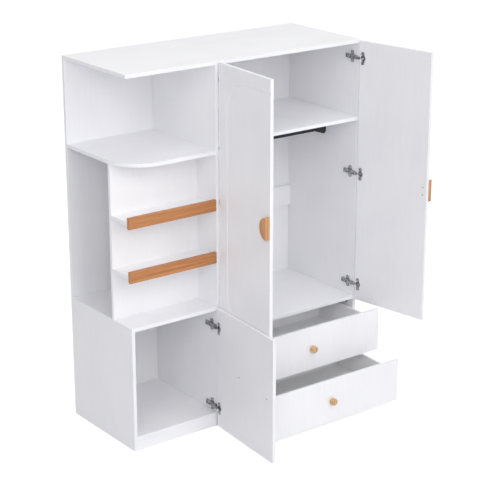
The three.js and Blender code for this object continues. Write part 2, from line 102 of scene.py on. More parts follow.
def put(tree: Tree, kind: str, inputs: Inputs | None = None, stops: Stops = (), **settings: object) -> Node:
    """Adds a node with its settings and links.

    Args:
        tree: Material, world or geometry tree.
        kind: Name of the node type.
        inputs: By name or number, a value, a socket or a node, which gives its first output.
        stops: Places and hex colours of a colour ramp, in order.
        **settings: Properties of the node.

    Returns:
        The new node.
    """
    node = tree.nodes.new(kind)
    for name, value in settings.items():
        setattr(node, name, value)
    for name, value in (inputs or {}).items():
        source = value.outputs[0] if isinstance(value, Node) else value
        if isinstance(source, Socket):
            tree.links.new(source, node.inputs[name])
        else:
            node.inputs[name].default_value = source
    for i, (place, code) in enumerate(stops):
        band = node.color_ramp.elements
        stop = band[i] if i < len(band) else band.new(place)
        stop.position, stop.color = place, linear(code)
    return node


class Axis(Enum):
    """The way that grain or brushing runs."""

    X = 0
    Y = 1
    Z = 2

    def slowed(self, share: float) -> Triple:
        """Frequencies of a pattern that is drawn out along this axis to a share of its own."""
        x, y, z = (share if i == self.value else 1.0 for i in range(3))
        return x, y, z


# Finishes


@dataclass(frozen=True)
class Finish:
    """What every finish has: a name, a gloss, patterns of a real size and one shader."""

    name: str
    roughness: float
    deep: float = 0.01  # depth of the relief
    gloss: Pair = (0.0, 0.0)  # change of roughness where the relief is low and where it is high
    metallic: float = 0.0
    press: float = 0.6  # strength of the relief

    def make(self) -> Material:
        """Builds the material.

        Returns:
            The material, which bears the finish's name.
        """
        made = bpy.data.materials.new(self.name)
        made.use_nodes = True
        made.node_tree.nodes.clear()
        self.paint()
        return made

    def paint(self) -> None:
        """Adds the nodes, which each kind of finish does in its own way."""
        raise NotImplementedError

    def put(self, kind: str, inputs: Inputs | None = None, stops: Stops = (), **settings: object) -> Node:
        """Adds a node to the material of this finish."""
        return put(bpy.data.materials[self.name].node_tree, kind, inputs, stops, **settings)

    def pattern(self, size: float, stretch: Triple = (1.0, 1.0, 1.0), detail: float = 2.0) -> Socket:
        """Uneven pattern whose spots have a real size.

        Args:
            size: Size of a spot.
            stretch: Share of the frequency along each axis.
            detail: Finer layers in it.

        Returns:
            The pattern from 0 to 1, most of it from 0.3 to 0.7, where the colour ramps have their stops.
        """
        place = self.put("ShaderNodeTexCoord").outputs["Object"]
        drawn = self.put("ShaderNodeMapping", {"Vector": place, "Scale": stretch})
        noise = self.put("ShaderNodeTexNoise", {"Vector": drawn, "Scale": 1 / (size * MM), "Detail": detail})
        return noise.outputs["Fac"]

    def shade(self, colour: Node | Socket | Colour, relief: Socket) -> None:
        """Ends the tree with one shader.

        Args:
            colour: Base colour.
            relief: Pattern that is pressed into the surface and changes the gloss.
        """
        low, high = (self.roughness + change for change in self.gloss)
        rough = self.put("ShaderNodeMapRange", {"Value": relief, "To Min": low, "To Max": high})
        bump = self.put(
            "ShaderNodeBump", {"Height": relief, "Distance": self.deep * MM, "Strength": self.press}
        )
        look = {"Base Color": colour, "Roughness": rough, "Metallic": self.metallic, "Normal": bump}
        shader = self.put("ShaderNodeBsdfPrincipled", look)
        self.put("ShaderNodeOutputMaterial", {"Surface": shader})


@dataclass(frozen=True)
class Laminate(Finish):
    """White sheet on board: even satin white, a faint pressed grain and a slow drift of tone."""

    deep: float = 0.003
    gloss: Pair = (0.03, -0.02)
    light: str = "#F9F9FB"
    dull: str = "#F5F5F8"
    streak: str = "#FCFCFC"  # multiplies the tone in the pressed lines
    grain: Axis = Axis.Z
    cloud: float = 260.0  # drift of tone
    line: float = 3.6  # the real pressed lines are finer than a millimetre; coarser here so that they show
    line_run: float = 0.03  # share of their frequency left along the grain

    def paint(self) -> None:
        """Adds the nodes: a drift of tone, multiplied by the pressed lines."""
        drift = self.pattern(self.cloud)
        tone = self.put("ShaderNodeValToRGB", {"Fac": drift}, [(0.35, self.dull), (0.65, self.light)])
        lines = self.pattern(self.line, self.grain.slowed(self.line_run), detail=3.0)
        faint = self.put("ShaderNodeValToRGB", {"Fac": lines}, [(0.34, self.streak), (0.6, WHITE)])
        both = self.put("ShaderNodeMix", {SHARE: 1.0, FIRST: tone, SECOND: faint}, **TIMES)
        self.shade(both.outputs[RESULT], lines)


@dataclass(frozen=True)
class Timber(Finish):
    """Lacquered wood: straight growth lines, fine fibres and short dark pores along the grain."""

    deep: float = 0.05
    gloss: Pair = (0.08, -0.04)
    shades: tuple[str, ...] = ("#D0905A", "#C58550", "#B16F3D", "#8B522A")  # light, middle, dark, pores
    between: str = "#D6D2CE"  # multiplies the tone between the fibres
    fibre_share: float = 0.8
    pore_share: str = "#B0B0B0"  # how much of the pores' colour shows
    grain: Axis = Axis.X
    growth: float = 6.0  # between growth lines
    fibre: float = 1.6  # real fibres are finer; coarser here so that they show
    fleck: float = 1.6
    runs: Triple = (0.012, 0.02, 0.07)  # shares left along the grain: growth lines, fibres, pores

    def paint(self) -> None:
        """Adds the nodes: growth lines, multiplied by the fibres, with pores over them."""
        growth_run, fibre_run, fleck_run = (self.grain.slowed(share) for share in self.runs)
        growth = self.pattern(self.growth, growth_run, detail=3.0)
        fibres = self.pattern(self.fibre, fibre_run, detail=3.0)
        flecks = self.pattern(self.fleck, fleck_run, detail=1.0)
        light, middle, dark, pore = self.shades
        tone = self.put("ShaderNodeValToRGB", {"Fac": growth}, [(0.32, dark), (0.5, middle), (0.68, light)])
        fine = self.put("ShaderNodeValToRGB", {"Fac": fibres}, [(0.3, self.between), (0.62, WHITE)])
        streaked = self.put("ShaderNodeMix", {SHARE: self.fibre_share, FIRST: tone, SECOND: fine}, **TIMES)
        spots = [(0.68, "#000000"), (0.76, self.pore_share)]
        here = self.put("ShaderNodeValToRGB", {"Fac": flecks}, spots)
        over = {SHARE: here, FIRST: streaked.outputs[RESULT], SECOND: linear(pore)}
        dotted = self.put("ShaderNodeMix", over, data_type="RGBA")
        self.shade(dotted.outputs[RESULT], fibres)


@dataclass(frozen=True)
class Plated(Finish):
    """Nickel on stamped steel: bright, with faint lengthwise strip marks and light and dark clouds of tone
    that are painted reflections.
    """

    gloss: Pair = (-0.06, 0.1)
    metallic: float = 1.0
    # the clouds run between these two tones, light and dull: painted reflection
    light: str = "#CFCED0"
    dull: str = "#616064"
    cloud: float = 5.0
    mark: float = 0.7
    mark_run: float = 0.08  # share of the marks' frequency left along the strip
    run: Axis = Axis.Y

    def paint(self) -> None:
        """Adds the nodes: clouds in tone, which are painted reflections, and strip marks in relief."""
        cloud = self.pattern(self.cloud)
        tone = self.put("ShaderNodeValToRGB", {"Fac": cloud}, [(0.36, self.dull), (0.62, self.light)])
        self.shade(tone, self.pattern(self.mark, self.run.slowed(self.mark_run)))


@dataclass(frozen=True)
class Coated(Finish):
    """Paint or enamel on metal, or moulded plastic: one colour with a soft orange-peel surface."""

    deep: float = 0.02
    gloss: Pair = (-0.05, 0.08)
    colour: str = "#202024"
    peel: float = 2.5

    def paint(self) -> None:
        """Adds the nodes: one colour and the peel in relief."""
        self.shade(linear(self.colour), self.pattern(self.peel))


class Palette:
    """All finishes of the wardrobe, each made once."""

    def __init__(self) -> None:
        """Builds the materials."""
        # Melamine faces of the particle boards: satin white, pressed grain upright on standing boards
        self.foil = Laminate("white melamine face", 0.42).make()
        # The same sheet on shelves, floors and the top, where the grain runs across the width
        self.level = Laminate("white melamine shelf face", 0.42, grain=Axis.X).make()
        # Doors with a routed line are fibreboard under a drawn film: the same white, a touch smoother
        self.film = Laminate("white film on fibreboard", 0.38, line=4.5, deep=0.002).make()
        # Paper foil of the drawer boxes: flatter
        matt = {"light": "#F8F8F9", "dull": "#F4F4F6", "grain": Axis.Y}
        self.paper = Laminate("white paper foil", 0.55, **matt).make()
        # Ledge strips: orange-brown lacquered wood, straight grain lengthwise
        self.strip = Timber("lacquered wood strip", 0.42).make()
        # Grips: stained beech, grain upright
        stained = {"shades": ("#E8B180", "#DAA16E", "#C28756", "#99663D"), "grain": Axis.Z, "growth": 7.0}
        self.grip = Timber("lacquered beech grip", 0.4, **stained).make()
        # Knobs: plain turned beech, lighter
        pale = {"shades": ("#E6BF8F", "#DBAF80", "#C49561", "#A17345"), "grain": Axis.Z, "growth": 5.0}
        self.knob = Timber("turned beech knob", 0.4, **pale).make()
        # Hinges: nickel-plated stampings, with light and dark clouds of painted reflection
        self.nickel = Plated("nickel plated steel", 0.3).make()
        # Screws: zinc, duller and more even than the nickel, with milder clouds of painted reflection
        even = {"light": "#CBCBCD", "dull": "#AEAEB0", "cloud": 2.0, "mark": 0.5}
        self.zinc = Plated("zinc plated screw", 0.4, **even).make()
        # Hanging rail and its sockets: satin black paint
        self.black = Coated("black painted steel", 0.48, colour="#17171A").make()
        # Runners: white stoved enamel
        self.enamel = Coated("white enamelled steel", 0.32, colour="#F0F0F0").make()
        # Screw caps: moulded plastic, close to the boards' white
        self.cap = Coated("white plastic cap", 0.4, colour="#F3F3F5", peel=4.0).make()
        # Plug in the low door: moulded plastic, a light grey against the board
        self.plug = Coated("light grey plastic plug", 0.45, colour="#C6C6CA", peel=4.0).make()
        # Dark end of the connecting bolt in the side panel
        self.bolt = Coated("black oxide bolt", 0.5, colour="#2B2B2E").make()


# Shapes


def cad_copy(node: str) -> Shape:
    """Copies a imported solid, merged and with its flat faces joined.

    Args:
        node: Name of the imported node.

    Returns:
        The copy.
    """
    made = bmesh.new()
    made.from_mesh(frame["nodes"][node].data)
    bmesh.ops.remove_doubles(made, verts=made.verts, dist=MERGE * MM)
    bmesh.ops.dissolve_limit(made, angle_limit=math.radians(PLANE), verts=made.verts, edges=made.edges)
    return made


def ease(shape: Shape, width: float, steps: int = 2, sharper: float = 35.0) -> Shape:
    """Rounds the sharp edges.

    Args:
        shape: Closed shape, changed in place.
        width: Width of the rounding.
        steps: Faces across it.
        sharper: Only edges that turn more than this angle.

    Returns:
        The same shape.
    """
    limit = math.radians(sharper)
    sharp = [e for e in shape.edges if len(e.link_faces) == 2 and e.calc_face_angle(0.0) > limit]
    bmesh.ops.bevel(
        shape, geom=sharp, offset=width * MM, segments=steps, profile=0.5, affect="EDGES", clamp_overlap=True
    )
    return shape


def prism(outline: Sequence[Pair], low: float, high: float) -> Shape:
    """Pushes an outline up.

    Args:
        outline: Corners in X and Y, anticlockwise.
        low: Height of the foot.
        high: Height of the top.

    Returns:
        The closed solid.
    """
    made = bmesh.new()
    foot, top = ([made.verts.new((x * MM, y * MM, z * MM)) for x, y in outline] for z in (low, high))
    made.faces.new(reversed(foot))
    made.faces.new(top)
    for i, point in enumerate(foot):
        j = (i + 1) % len(foot)
        made.faces.new((point, foot[j], top[j], top[i]))
    return made


def turned(profile: Sequence[Pair], steps: int = 56) -> Shape:
    """Turns a profile about Z into a closed solid.

    Args:
        profile: Radius and height pairs, from the axis at the foot to the axis at the top.
        steps: Faces round.

    Returns:
        The solid.
    """
    made = bmesh.new()
    rings: list[list[bmesh.types.BMVert]] = []
    for radius, height in profile:
        angles = [2 * math.pi * i / steps for i in range(steps if radius else 1)]
        wide = radius * MM
        rings.append([made.verts.new((wide * math.cos(a), wide * math.sin(a), height * MM)) for a in angles])
    for low, high in zip(rings, rings[1:]):
        for i in range(steps):
            j = (i + 1) % steps
            corners = [low[i % len(low)], low[j % len(low)], high[j % len(high)], high[i % len(high)]]
            made.faces.new(list(dict.fromkeys(corners)))
    bmesh.ops.recalc_face_normals(made, faces=made.faces)
    return made


def arc(cx: float, cy: float, radius: float, start: float, end: float, steps: int) -> list[Pair]:
    """Points of an arc.

    Args:
        cx: Middle, first axis.
        cy: Middle, second axis.
        radius: Radius.
        start: First angle.
        end: Last angle.
        steps: Number of pieces.

    Returns:
        The points, both ends among them.
    """
    turns = [math.radians(start + (end - start) * i / steps) for i in range(steps + 1)]
    return [(cx + radius * math.cos(t), cy + radius * math.sin(t)) for t in turns]


def ovals(middle: Vector, rings: Sequence[Triple], joined: bool, steps: int = 24) -> Shape:
    """Skins a row of ovals that stand across X.

    Args:
        middle: Middle of every oval; its X isn't used.
        rings: Place along X, radius and half the straight height of each oval.
        joined: True joins the last oval to the first, and False closes both ends with a face.
        steps: Faces round each end of an oval.

    Returns:
        The closed solid.
    """
    made = bmesh.new()
    skins = []
    for x, r, up in rings:
        oval = arc(0, up, r, 0, 180, steps) + arc(0, -up, r, 180, 360, steps)
        skins.append([made.verts.new((x * MM, (middle.y + y) * MM, (middle.z + z) * MM)) for y, z in oval])
    pairs = list(zip(skins, skins[1:]))
    if joined:
        pairs.append((skins[-1], skins[0]))
    else:
        made.faces.new(skins[0])
        made.faces.new(skins[-1])
    for a, b in pairs:
        for i in range(len(a)):
            made.faces.new((a[i - 1], a[i], b[i], b[i - 1]))
    bmesh.ops.recalc_face_normals(made, faces=made.faces)
    return made


def written(shape: Shape, name: str) -> Mesh:
    """Writes a shape to a mesh.

    Args:
        shape: The shape, freed afterwards.
        name: Name of the mesh.

    Returns:
        The mesh.
    """
    mesh = bpy.data.meshes.new(name)
    shape.to_mesh(mesh)
    shape.free()
    return mesh


def flatten(piece: bpy.types.Object) -> None:
    """Keeps broad faces flat in the light, so that only the small faces of an eased edge look round.

    Args:
        piece: Finished piece, already linked; its mesh is exchanged.
    """
    plain, name = piece.data, piece.data.name
    weighted = piece.modifiers.new("flat faces", "WEIGHTED_NORMAL")
    weighted.keep_sharp = True
    weighted.weight = 100  # the most that large faces can outweigh small ones
    bpy.context.view_layer.update()
    graph = bpy.context.evaluated_depsgraph_get()
    piece.data = bpy.data.meshes.new_from_object(piece.evaluated_get(graph))
    piece.modifiers.remove(weighted)
    bpy.data.meshes.remove(plain)
    piece.data.name = name


def settle(
    made: Shape | Mesh,
    name: str,
    body: str,
    slot: str,
    finish: Material | None = None,
    instead_of: Sequence[str] = (),
    smooth: float = 32.0,
) -> None:
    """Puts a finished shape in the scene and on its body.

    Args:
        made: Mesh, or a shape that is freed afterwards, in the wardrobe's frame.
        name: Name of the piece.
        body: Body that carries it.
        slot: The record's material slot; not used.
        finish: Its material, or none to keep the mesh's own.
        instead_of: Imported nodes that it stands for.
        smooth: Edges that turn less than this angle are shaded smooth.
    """
    mesh = made if isinstance(made, Mesh) else written(made, name)
    mesh.name = name
    if finish:
        mesh.materials.append(finish)
    mesh.shade_smooth()
    mesh.set_sharp_from_angle(angle=math.radians(smooth))
    piece = bpy.data.objects.new(name, mesh)
    bpy.context.scene.collection.objects.link(piece)
    flatten(piece)
    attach(piece, body)
    if instead_of:
        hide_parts(*instead_of)
    log.info("%s: %d faces on %s", name, len(piece.data.polygons), body)


# Geometry trees


class GeometryTree:
    """A node tree for a modifier, with named inputs."""

    def __init__(self, name: str, inputs: dict[str, str]) -> None:
        """Starts the tree.

        Args:
            name: Name of the tree.
            inputs: Kind of socket of each input after the geometry, by name.
        """
        self.tree = bpy.data.node_groups.new(name, "GeometryNodeTree")
        self.tree.is_modifier = True
        face = self.tree.interface
        self.keys: dict[str, str] = {}
        for label, kind in {"Geometry": "Geometry", **inputs}.items():
            socket = face.new_socket(name=label, in_out="INPUT", socket_type=f"NodeSocket{kind}")
            self.keys[label] = socket.identifier
        face.new_socket(name="Geometry", in_out="OUTPUT", socket_type="NodeSocketGeometry")
        self.given = self.tree.nodes.new("NodeGroupInput").outputs

    def put(self, kind: str, inputs: Inputs | None = None, **settings: object) -> Node:
        """Adds a node to this tree."""
        return put(self.tree, kind, inputs, **settings)

    def close(self, geometry: Node) -> None:
        """Realizes the geometry, gives it the material of the input named Finish and ends the tree.

        Args:
            geometry: Node that made it.
        """
        real = self.put("GeometryNodeRealizeInstances", {"Geometry": geometry})
        dressed = self.put("GeometryNodeSetMaterial", {"Geometry": real, "Material": self.given["Finish"]})
        self.put("NodeGroupOutput", {0: dressed})

    def run(self, start: Mesh, values: dict[str, object], easing: float = 0.0) -> Mesh:
        """Runs the tree and gives a plain mesh.

        Args:
            start: Mesh that goes in.
            values: Values of the named inputs.
            easing: Rounding of the sharp edges after the tree.

        Returns:
            The mesh, with no modifier left.
        """
        host = bpy.data.objects.new("host", start)
        bpy.context.scene.collection.objects.link(host)
        work = host.modifiers.new("tree", "NODES")
        work.node_group = self.tree
        for label, value in values.items():
            work[self.keys[label]] = value
        if easing:
            bevel = host.modifiers.new("easing", "BEVEL")
            bevel.width = easing * MM
            bevel.segments = 2  # faces across, as ease() has
            bevel.limit_method = "ANGLE"
            bevel.angle_limit = math.radians(ROUND)
        bpy.context.view_layer.update()
        done = bpy.data.meshes.new_from_object(host.evaluated_get(bpy.context.evaluated_depsgraph_get()))
        if done.materials[0] is None:
            done.materials.pop(index=0)  # left by the start mesh, and no face uses it
        bpy.data.objects.remove(host)
        return done


class Head(Enum):
    """Kinds of small fastener, 10 mm across: the turned ones give radius and height pairs."""

    CROSS = ()
    CAP = ((0, 0), (5, 0), (5, 0.5), (4.4, 1.1), (0, 1.3))
    NAIL = ((0, 0), (5, 0), (4.8, 0.6), (3.6, 1.1), (0, 1.2))


@dataclass
class Fasteners:
    """Screws, caps and nails, each kind made once and set on points by a geometry tree."""

    drawn: float = 10.0  # width that the heads are drawn at
    steps: int = 20
    face: float = 4.1  # radius of the flat face of a screw head
    rise: float = 1.6  # its height
    shoulder: float = 0.7  # height where the head is widest
    arm: Pair = (2.9, 0.75)  # reach and half width of the cross
    cross_deep: float = 1.2
    cross_taper: float = 0.75
    heads: dict[Head, bpy.types.Object] = field(init=False)
    tree: GeometryTree = field(init=False)

    def __post_init__(self) -> None:
        """Builds the heads, as objects that aren't shown, and the tree."""
        self.heads = {}
        for kind in Head:
            shape = turned(kind.value, self.steps) if kind.value else self.cross_head()
            mesh = written(shape, f"{kind.name} head")
            self.heads[kind] = bpy.data.objects.new(mesh.name, mesh)
        kinds = {"Head": "Object", "Size": "Float", "Finish": "Material"}
        self.tree = tree = GeometryTree("set heads on points", kinds)
        head = tree.put("GeometryNodeObjectInfo", {"Object": tree.given["Head"]})
        facing = tree.put("GeometryNodeInputNamedAttribute", {"Name": "facing"}, data_type="FLOAT_VECTOR")
        way = {"Vector": facing.outputs["Attribute"]}
        turn = tree.put("FunctionNodeAlignRotationToVector", way, axis="Z")
        scatter = {
            "Points": tree.given["Geometry"],
            "Instance": head.outputs["Geometry"],
            "Rotation": turn,
            "Scale": tree.given["Size"],
        }
        tree.close(tree.put("GeometryNodeInstanceOnPoints", scatter))

    def cross_head(self) -> Shape:
        """A screw's pan head with a cross recess.

        Returns:
            The closed shape, standing on z = 0.
        """
        shape = bmesh.new()
        round_face = arc(0, 0, self.face, 0, 360, self.steps)[:-1]
        rim = [shape.verts.new((x * MM, y * MM, self.rise * MM)) for x, y in round_face]
        b, a = self.arm
        quarter = [(b, -a), (b, a), (a, a)]
        cross = []
        for _ in range(4):
            cross += quarter
            quarter = [(-y, x) for x, y in quarter]
        t = self.cross_taper * MM
        recess = [shape.verts.new((x * MM, y * MM, self.rise * MM)) for x, y in cross]
        deep = [shape.verts.new((t * x, t * y, (self.rise - self.cross_deep) * MM)) for x, y in cross]
        loops = [shape.edges.new((ring[i - 1], ring[i])) for ring in (rim, recess) for i in range(len(ring))]
        bmesh.ops.triangle_fill(shape, use_beauty=True, edges=loops, normal=(0, 0, 1))
        for i in range(len(cross)):
            shape.faces.new((recess[i - 1], recess[i], deep[i], deep[i - 1]))
        shape.faces.new(deep)
        wider = self.drawn / 2 / self.face
        upper = rim
        for height in (self.shoulder * MM, 0.0):
            ring = [shape.verts.new((v.co.x * wider, v.co.y * wider, height)) for v in rim]
            for i in range(len(ring)):
                shape.faces.new((ring[i - 1], ring[i], upper[i], upper[i - 1]))
            upper = ring
        shape.faces.new(list(reversed(upper)))
        bmesh.ops.recalc_face_normals(shape, faces=shape.faces)
        return shape

    def place(
        self,
        name: str,
        body: str,
        slot: str,
        head: Head,
        wide: float,
        finish: Material,
        spots: Sequence[Spot],
    ) -> None:
        """Sets one kind of head on its spots.

        Args:
            name: Name of the piece.
            body: Body that carries it.
            slot: The record's material slot, passed on to settle(), which doesn't use it.
            head: Kind of head.
            wide: Its width.
            finish: Its material.
            spots: Place in metres and direction that the head faces.
        """
        points = bpy.data.meshes.new("points")
        points.from_pydata([tuple(p) for p, _ in spots], [], [])
        way = points.attributes.new("facing", "FLOAT_VECTOR", "POINT")
        way.data.foreach_set("vector", [c for _, d in spots for c in d])
        sizes = {"Head": self.heads[head], "Size": wide / self.drawn, "Finish": finish}
        settle(self.tree.run(points, sizes), name, body, slot, smooth=ROUND)

    def clear(self) -> None:
        """Removes the heads that the pieces were made from."""
        for head in self.heads.values():
            bpy.data.objects.remove(head)


@dataclass
class Assembly:
    """What every sub-assembly gets: the finishes and the maker of its small fasteners."""

    palette: Palette
    fasteners: Fasteners

    def screws(self, name: str, body: str, wide: float, spots: Sequence[Spot]) -> None:
        """Sets zinc screws with a head of this width on their spots."""
        self.fasteners.place(name, body, "nickel", Head.CROSS, wide, self.palette.zinc, spots)


# Carcass


@dataclass
class Carcass(Assembly):
    """White boards with eased edges, the round-cornered shelf, nails of the thin back and caps."""

    standing: tuple[str, ...] = (
        "centre_divider", "right_side_panel", "left_back_panel", "right_back_panel",
        "cabinet_side", "partition",
    )
    lying: tuple[str, ...] = (
        "top_panel", "inner_shelf", "hanging_floor", "back_batten", "base_rail",
        "cabinet_top", "cabinet_floor", "cabinet_kick", "ledge_lower", "ledge_upper",
    )
    easing: float = 0.7
    shelf_radius: float = 160.0
    shelf_steps: int = 48
    nail_step: float = 110.0
    nail_inset: float = 8.0
    nail_head: float = 5.5
    cap_back: float = 350.0  # caps behind the divider's front edge
    cap_heights: Pair = (1378.0, 1278.0)
    cap_head: float = 13.0
    bolt_back: float = 44.0
    bolt_height: float = 392.0
    bolt_head: float = 10.0

    def build(self) -> None:
        """Makes every board and its small parts."""
        for nodes, face in ((self.standing, self.palette.foil), (self.lying, self.palette.level)):
            for node in nodes:
                self.board(node, face, ease(cad_copy(node), self.easing))
        self.round_shelf()
        self.nails()
        self.caps()

    @staticmethod
    def board(node: str, face: Material, shape: Shape) -> None:
        """Settles a board of the carcass in this finish."""
        settle(shape, f"banded_{node}", "carcass", "white_board", face, [node])

    def round_shelf(self) -> None:
        """The shelf with one rounded front corner, finely stepped."""
        low, high = (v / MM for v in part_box("round_shelf"))
        r = self.shelf_radius
        outline = [(high.x, low.y), (high.x, high.y), (low.x, high.y)]
        outline += arc(low.x + r, low.y + r, r, 180, 270, self.shelf_steps)
        shape = ease(prism(outline, low.z, high.z), self.easing, sharper=60)
        self.board("round_shelf", self.palette.level, shape)

    def nails(self) -> None:
        """Nails in rows along the foot, the shelves and the top of the thin back, seen from behind."""
        low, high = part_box("right_back_panel")
        inset = self.nail_inset * MM
        shelves = [sum((v.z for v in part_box(node)), 0.0) / 2 for node in ("inner_shelf", "hanging_floor")]
        count = int((high.x - low.x) / (self.nail_step * MM)) + 1
        step = (high.x - low.x) / count
        spots = [
            (Vector((low.x + step * (i + 0.5), high.y, z)), Vector((0, 1, 0)))
            for z in (high.z - inset, *shelves, low.z + inset)
            for i in range(count)
        ]
        zinc = self.palette.zinc
        self.fasteners.place("back_nails", "carcass", "nickel", Head.NAIL, self.nail_head, zinc, spots)

    def caps(self) -> None:
        """White caps on the divider in the upper bay, and the dark bolt over the upper drawer."""
        leftwards = Vector((-1, 0, 0))
        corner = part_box("centre_divider")[0]
        line = corner.y + self.cap_back * MM
        spots = [(Vector((corner.x, line, z * MM)), leftwards) for z in self.cap_heights]
        cap, dark = self.palette.cap, self.palette.bolt
        self.fasteners.place("divider_caps", "carcass", "white_board", Head.CAP, self.cap_head, cap, spots)
        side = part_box("right_side_panel")[0]
        bolt = [(Vector((side.x, side.y + self.bolt_back * MM, self.bolt_height * MM)), leftwards)]
        self.fasteners.place("side_bolt", "carcass", "nickel", Head.CAP, self.bolt_head, dark, bolt)


@dataclass
class LedgeStrips(Assembly):
    """Wooden strips on the fronts of the two book ledges."""

    nodes: tuple[str, ...] = ("ledge_strip_lower", "ledge_strip_upper")
    easing: float = 1.6

    def build(self) -> None:
        """Makes the strips."""
        for node in self.nodes:
            low, high = (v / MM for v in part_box(node))
            outline = [(low.x, low.y), (high.x, low.y), (high.x, high.y), (low.x, high.y)]
            shape = ease(prism(outline, low.z, high.z), self.easing, steps=4)
            settle(shape, f"wood_{node}", "carcass", "strip_wood", self.palette.strip, [node])


@dataclass
class HangingRail(Assembly):
    """Black oval tube in two sockets that flare from a collar to a flange on the panel."""

    sockets: tuple[str, ...] = ("rail_socket_left", "rail_socket_right")
    wall: float = 1.5
    fit: float = 0.3  # tube to collar
    collar: float = 2.5
    flange: float = 3.0
    easing: float = 0.7

    def build(self) -> None:
        """Makes the tube and its sockets."""
        low, high = (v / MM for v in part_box("hanging_rail"))
        middle, r = (low + high) / 2, (high.y - low.y) / 2
        up = (high.z - low.z) / 2 - r
        inner = r - self.wall
        tube = ovals(middle, [(low.x, r, up), (high.x, r, up), (high.x, inner, up), (low.x, inner, up)], True)
        black = self.palette.black
        settle(tube, "oval_hanging_rail", "carcass", "black_metal", black, ["hanging_rail"])
        for node in self.sockets:
            a, b = (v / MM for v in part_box(node))
            seat, mouth = (a.x, b.x) if a.x < low.x else (b.x, a.x)
            rise = math.copysign(self.flange, mouth - seat)
            wide = (b.y - a.y) / 2
            tall = (b.z - a.z) / 2 - wide
            bore = r + self.fit
            rim = bore + self.collar
            rings = [(seat, wide, tall), (seat + rise, wide, tall), (mouth - rise, rim, up), (mouth, rim, up)]
            rings += [(mouth, bore, up), (seat + rise, bore, up)]
            shape = ease(ovals(middle, rings, False), self.easing, 3, SHARP)
            settle(shape, f"pressed_{node}", "carcass", "black_metal", black, [node], smooth=ROUND)


# Hinges


@dataclass(frozen=True)
class Swing:
    """A door's own frame: its turning line stands at the origin and the closed door lies along X."""

    side: int
    pivot: Pair
    opened: float

    @classmethod
    def of(cls, door: str) -> "Swing":
        """Reads from a door's joint where it turns and how far it stands open.

        Args:
            door: Name of the door's body.

        Returns:
            Its swing.
        """
        joint = next(j for j in frame["joints"] if j["child"] == door)
        closing = max(joint["range_deg"], key=abs)
        x, y, _ = joint["pos_m"]
        return cls(1 if closing > 0 else -1, (x / MM, y / MM), abs(closing))

    @property
    def matrix(self) -> Matrix:
        """From the door's own frame to the wardrobe's."""
        turn = Matrix.Rotation(math.radians(-self.side * self.opened), 4, "Z")
        return Matrix.Translation((self.pivot[0] * MM, self.pivot[1] * MM, 0)) @ turn

    @property
    def inward(self) -> Vector:
        """The way that the door's inner face looks, in the wardrobe's frame."""
        return self.matrix.to_3x3() @ Vector((0, 1, 0))

    def seat(self, x: float, y: float, z: float) -> Matrix:
        """The door's own frame, moved to a point of the door."""
        return self.matrix @ Matrix.Translation((self.side * x * MM, y * MM, z * MM))

    def at(self, x: float, y: float, z: float) -> Vector:
        """A point of the door, in metres, in the wardrobe's frame."""
        return self.seat(x, y, z).translation

    def corners(self, node: str) -> tuple[Vector, Vector]:
        """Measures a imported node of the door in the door's own frame.

        Args:
            node: Name of the node.

        Returns:
            Lowest and highest corner, with X running from the hinges to the free edge.
        """
        back = self.matrix.inverted()
        spots = [back @ v.co / MM for v in frame["nodes"][node].data.vertices]
        ways = [[self.side * p.x for p in spots], [p.y for p in spots], [p.z for p in spots]]
        return Vector([min(w) for w in ways]), Vector([max(w) for w in ways])


@dataclass
class HingeSet(Assembly):
    """The concealed hinges of one door: stamped arms and cups with their screws."""

    door: str
    swing: Swing
    inner: float  # door's inner face from the turning line
    cup_set: float = 13.0  # middle of the cup from the turning line
    cup_lip: float = 1.5  # flange over the inner face
    cup_screw_set: float = 17.0  # the cup's screws stand clear of the board's edge
    cup_screw_up: float = 22.5
    cup_head: float = 7.0
    plate_mid: float = 51.5  # plate's middle behind the turning line
    plate_rise: float = 2.0
    plate_screw_up: float = 17.5
    plate_head: float = 8.5
    arm_seat: float = 6.0  # floor of the arm's slots over the board
    arm_rear: float = 77.5
    arm_head: float = 5.0
    easing: float = 0.35
    heights: list[float] = field(init=False)
    face: float = field(init=False)  # board's surface from the turning line

    def __post_init__(self) -> None:
        """Reads the arms' heights and the board that they stand on."""
        arms = [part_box(n) for n in sorted(frame["nodes"]) if n.startswith(f"{self.door}_arm_")]
        self.heights = [(low.z + high.z) / 2 / MM for low, high in arms]
        board = arms[0][0].x if self.swing.side > 0 else arms[0][1].x
        self.face = abs(board / MM - self.swing.pivot[0])

    def build(self) -> None:
        """Makes the hinges of the door."""
        nickel = self.palette.nickel
        for i in range(1, len(self.heights) + 1):
            for kind, body in (("arm", "carcass"), ("cup", self.door)):
                node = f"{self.door}_{kind}_{i}"
                shape = ease(cad_copy(node), self.easing, sharper=SHARP)
                settle(shape, f"stamped_{node}", body, "nickel", nickel, [node], smooth=45)
        wings_of_plate = [(self.plate_mid, self.plate_screw_up)]
        self.row("plate_screws", self.plate_head, self.plate_rise, wings_of_plate)
        slots = [(self.plate_mid, 0.0), (self.arm_rear, 0.0)]
        self.row("arm_screws", self.arm_head, self.arm_seat, slots)
        wings = [
            (self.swing.at(self.cup_screw_set, self.inner + self.cup_lip, z + up), self.swing.inward)
            for z in self.heights
            for up in (-self.cup_screw_up, self.cup_screw_up)
        ]
        self.screws(f"{self.door}_cup_screws", self.door, self.cup_head, wings)

    def row(self, label: str, wide: float, rise: float, places: Sequence[Pair]) -> None:
        """Sets screws on the plates or the arms.

        Args:
            label: What the screws hold.
            wide: Width of their heads.
            rise: Height of their seat over the board.
            places: How far behind the turning line and how far over and under the hinge's middle.
        """
        side, (px, py) = self.swing.side, self.swing.pivot
        x = (px + side * (self.face + rise)) * MM
        spots = [
            (Vector((x, (py + back) * MM, (z + up) * MM)), Vector((side, 0, 0)))
            for z in self.heights
            for back, away in places
            for up in sorted({-away, away})
        ]
        self.screws(f"{self.door}_{label}", "carcass", wide, spots)


# Doors


